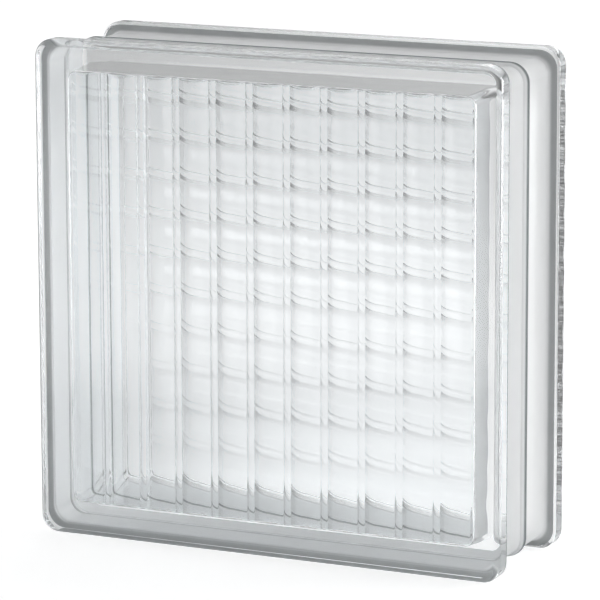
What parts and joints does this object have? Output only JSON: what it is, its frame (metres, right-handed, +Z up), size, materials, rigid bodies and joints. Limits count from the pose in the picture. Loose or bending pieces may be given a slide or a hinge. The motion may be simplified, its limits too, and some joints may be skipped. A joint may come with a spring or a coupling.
{
  "type": "glass block",
  "caption": "Square hollow glass building block: two fused pressed half shells with lips, a mortar groove round the edge and crossed inner flutes.",
  "frame": {"origin": "middle of the foot, on the level that the lips stand on", "axes": "+Z up, -Y out of the front face, whose flutes stand upright, +X to the right seen from the front"},
  "size_m": [0.24, 0.08, 0.24],
  "materials": {
    "clear_glass": "clear pressed glass, fire-polished and glossy, with a faint grey-green tint"
  },
  "bodies": {
    "root": {"front_half": "clear_glass", "back_half": "clear_glass"}
  },
  "joints": []
}
